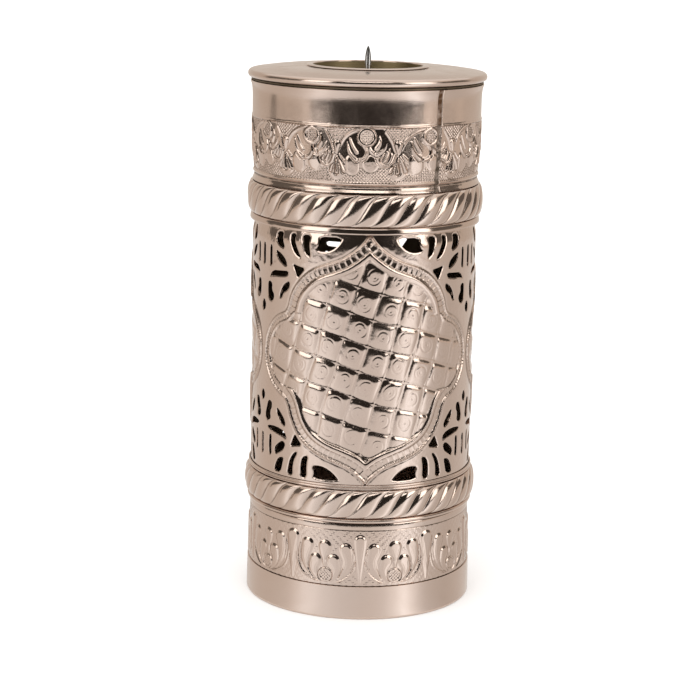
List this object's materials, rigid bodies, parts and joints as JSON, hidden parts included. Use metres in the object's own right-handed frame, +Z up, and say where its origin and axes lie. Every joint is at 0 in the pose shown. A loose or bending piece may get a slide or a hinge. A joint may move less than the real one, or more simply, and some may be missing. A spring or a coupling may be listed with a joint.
{
  "type": "sanctuary lamp",
  "caption": "Drum-shaped candle lamp with pierced medallion sides, rope rings, a loose drip pan and a drop-in cup with a pricket spike.",
  "frame": {"origin": "centre of the foot's resting ring, on the ground", "axes": "+Z up along the axis of the drum; -Y towards the front, where one medallion faces within 3 degrees"},
  "size_m": [0.1084, 0.1084, 0.2545],
  "materials": {
    "plated_body": "worn satin nickel plate on brass",
    "plated_relief": "embossed nickel plate, darkened in the hollows",
    "polished_plate": "polished nickel plate",
    "raw_brass": "dull olive brass",
    "steel": "bright turned steel"
  },
  "bodies": {
    "lamp_body": {"foot_ring": "plated_body", "lower_embossed_band": "plated_relief", "lower_collar": "plated_body", "lower_rope_ring": "plated_relief", "lower_trim_ring": "plated_body", "pierced_shell": "plated_relief", "upper_collar": "plated_body", "upper_rope_ring": "plated_relief", "upper_embossed_band": "plated_relief"},
    "drip_pan": {"drip_pan_plate": "polished_plate", "locating_ring": "raw_brass"},
    "candle_holder": {"candle_cup": "raw_brass", "pricket_spike": "steel", "spike_washer": "steel", "spike_nut": "steel"}
  },
  "joints": [
    {"name": "pan_lift", "type": "slide", "parent": "lamp_body", "child": "drip_pan", "axis": [0, 0, 1], "range_m": [0, 0.06]},
    {"name": "cup_lift", "type": "slide", "parent": "drip_pan", "child": "candle_holder", "axis": [0, 0, 1], "range_m": [0, 0.045]}
  ]
}
